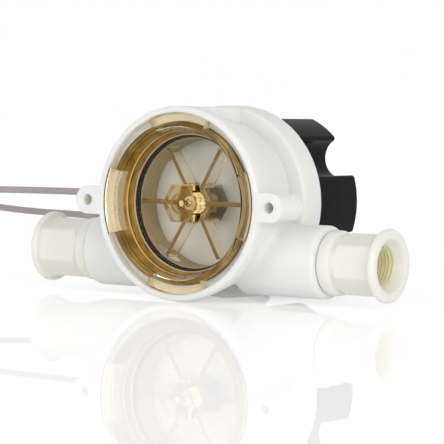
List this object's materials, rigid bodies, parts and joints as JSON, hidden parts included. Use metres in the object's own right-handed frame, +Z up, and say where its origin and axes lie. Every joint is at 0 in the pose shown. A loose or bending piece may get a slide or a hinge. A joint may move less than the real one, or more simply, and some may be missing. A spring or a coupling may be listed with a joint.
{
  "type": "paddle wheel flow sensor",
  "caption": "Inline flow sensor: a bladed rotor behind an amber bayonet lens in a white housing with threaded pipe adapters, a lobed hand knob and a sensor cable.",
  "frame": {"origin": "floor point under the middle of the object without its cable", "axes": "+X along the flow from inlet to outlet, +Y from the lens towards the knob along the rotor axis, +Z up"},
  "size_m": [0.3087, 0.1481, 0.094],
  "materials": {
    "housing": "white moulded plastic with a soft sheen",
    "lens": "clear amber moulding",
    "rotor": "clear amber moulding",
    "bush": "plain bearing plastic",
    "magnet": "dark sintered ferrite",
    "steel": "ground pin",
    "seal": "black rubber",
    "adapter": "ivory moulded plastic",
    "knob": "glossy black",
    "board": "green laminate",
    "chip": "black epoxy",
    "terminal": "pale moulding",
    "gland": "grey flexible moulding",
    "cable": "grey sheath",
    "lead_red": "red insulation",
    "lead_white": "white insulation",
    "lead_black": "black insulation"
  },
  "bodies": {
    "housing": {"housing_body": "housing", "axle_pin": "steel", "lens_seal": "seal", "outlet_adapter": "adapter", "inlet_adapter": "adapter", "outlet_seal": "seal", "inlet_seal": "seal", "rear_cover": "housing", "cover_gasket": "seal", "circuit_board": "board", "hall_sensor": "chip", "board_capacitor": "chip", "wire_terminal": "terminal", "voltage_regulator": "chip", "cable_gland": "gland", "cable": "cable", "cable_coil": "cable", "cable_tail": "cable", "lead_plus": "lead_red", "lead_signal": "lead_white", "lead_minus": "lead_black"},
    "lens": {"lens_cover": "lens"},
    "rotor": {"rotor": "rotor", "rotor_bush": "bush", "rotor_magnet": "magnet"},
    "knob": {"hand_knob": "knob"}
  },
  "joints": [
    {"name": "rotor_spin", "type": "hinge", "parent": "housing", "child": "rotor", "pos_m": [0, -0.0255, 0.047], "axis": [0, 1, 0], "continuous": true},
    {"name": "lens_twist", "type": "hinge", "parent": "housing", "child": "lens", "pos_m": [0, -0.0395, 0.047], "axis": [0, -1, 0], "range_deg": [0, 45]},
    {"name": "knob_turn", "type": "hinge", "parent": "housing", "child": "knob", "pos_m": [0, 0.0285, 0.047], "axis": [0, 1, 0], "range_deg": [0, 90]}
  ]
}
